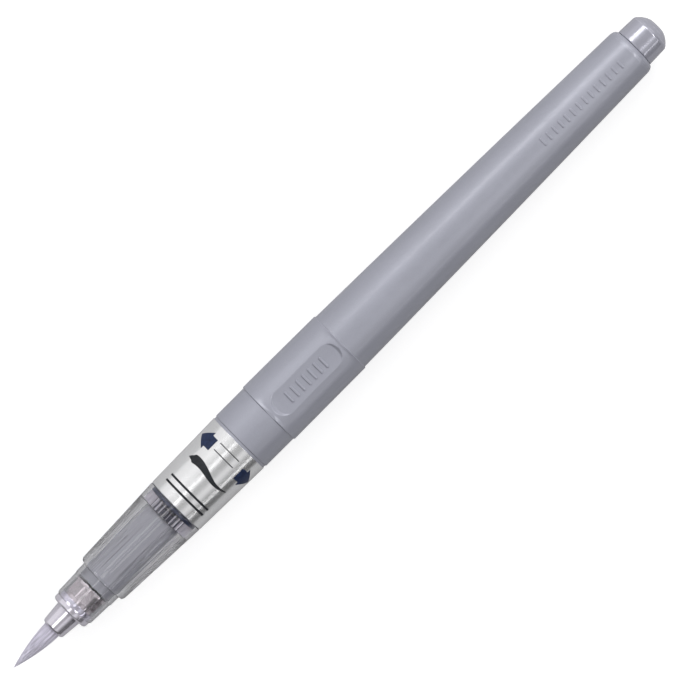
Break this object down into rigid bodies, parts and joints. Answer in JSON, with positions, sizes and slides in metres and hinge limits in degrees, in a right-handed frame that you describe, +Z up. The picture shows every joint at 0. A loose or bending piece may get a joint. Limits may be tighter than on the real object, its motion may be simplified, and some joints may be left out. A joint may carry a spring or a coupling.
{
  "type": "brush pen",
  "caption": "Uncapped squeeze-barrel brush pen: nylon tip, clear screw-on nose with an ink collector, foil label, tapered barrel with sprung push pads, and a tail plug.",
  "frame": {"origin": "under the middle of the pen's length, on the surface that it lies on", "axes": "+X along the pen from the brush to the tail plug, +Z up through the middle of the push panel"},
  "size_m": [0.163, 0.0132, 0.0128],
  "materials": {
    "nylon": "fine pearly strands",
    "milky_plastic": "moulded, slightly milky",
    "fibre": "felted",
    "clear_plastic": "clear moulded",
    "collector_grey": "satin, fluted",
    "collar_grey": "satin, ribbed",
    "black_rubber": "matt",
    "barrel_grey": "satin, faintly metallic",
    "label_foil": "printed metallic film",
    "tail_grey": "polished",
    "steel": "polished ball"
  },
  "bodies": {
    "barrel": {"barrel": "barrel_grey", "inner_plug": "milky_plastic", "foil_label": "label_foil", "tail_plug": "tail_grey", "tail_seal": "black_rubber"},
    "feed": {"feed_tube": "milky_plastic", "tube_seal": "black_rubber"},
    "nose": {"bristles": "nylon", "bristle_root": "nylon", "ferrule": "milky_plastic", "retainer_bush": "milky_plastic", "feed_core": "fibre", "buffer_sponge": "fibre", "front_ring": "milky_plastic", "clear_nose": "clear_plastic", "nose_gasket": "black_rubber", "ink_collector": "collector_grey", "collector_collar": "collar_grey"},
    "pad_top": {"push_pad_top": "barrel_grey"},
    "pad_bottom": {"push_pad_bottom": "barrel_grey"},
    "ball": {"mixing_ball": "steel"}
  },
  "joints": [
    {"name": "nose_advance", "type": "slide", "parent": "barrel", "child": "feed", "axis": [-1, 0, 0], "range_m": [0, 0.0045]},
    {"name": "nose_unscrew", "type": "hinge", "parent": "feed", "child": "nose", "pos_m": [0, 0, 0.0064], "axis": [-1, 0, 0], "range_deg": [0, 900]},
    {"name": "push_top", "type": "slide", "parent": "barrel", "child": "pad_top", "axis": [0, 0, -1], "range_m": [0, 0.0012], "stiffness_N_per_m": 4000},
    {"name": "push_bottom", "type": "slide", "parent": "barrel", "child": "pad_bottom", "axis": [0, 0, 1], "range_m": [0, 0.0012], "stiffness_N_per_m": 4000},
    {"name": "ball_roll", "type": "slide", "parent": "barrel", "child": "ball", "axis": [-1, 0, 0], "range_m": [0, 0.091]}
  ],
  "couplings": [
    {"joint": "nose_unscrew", "follows": "nose_advance", "rad_per_m": 3490.7}
  ]
}
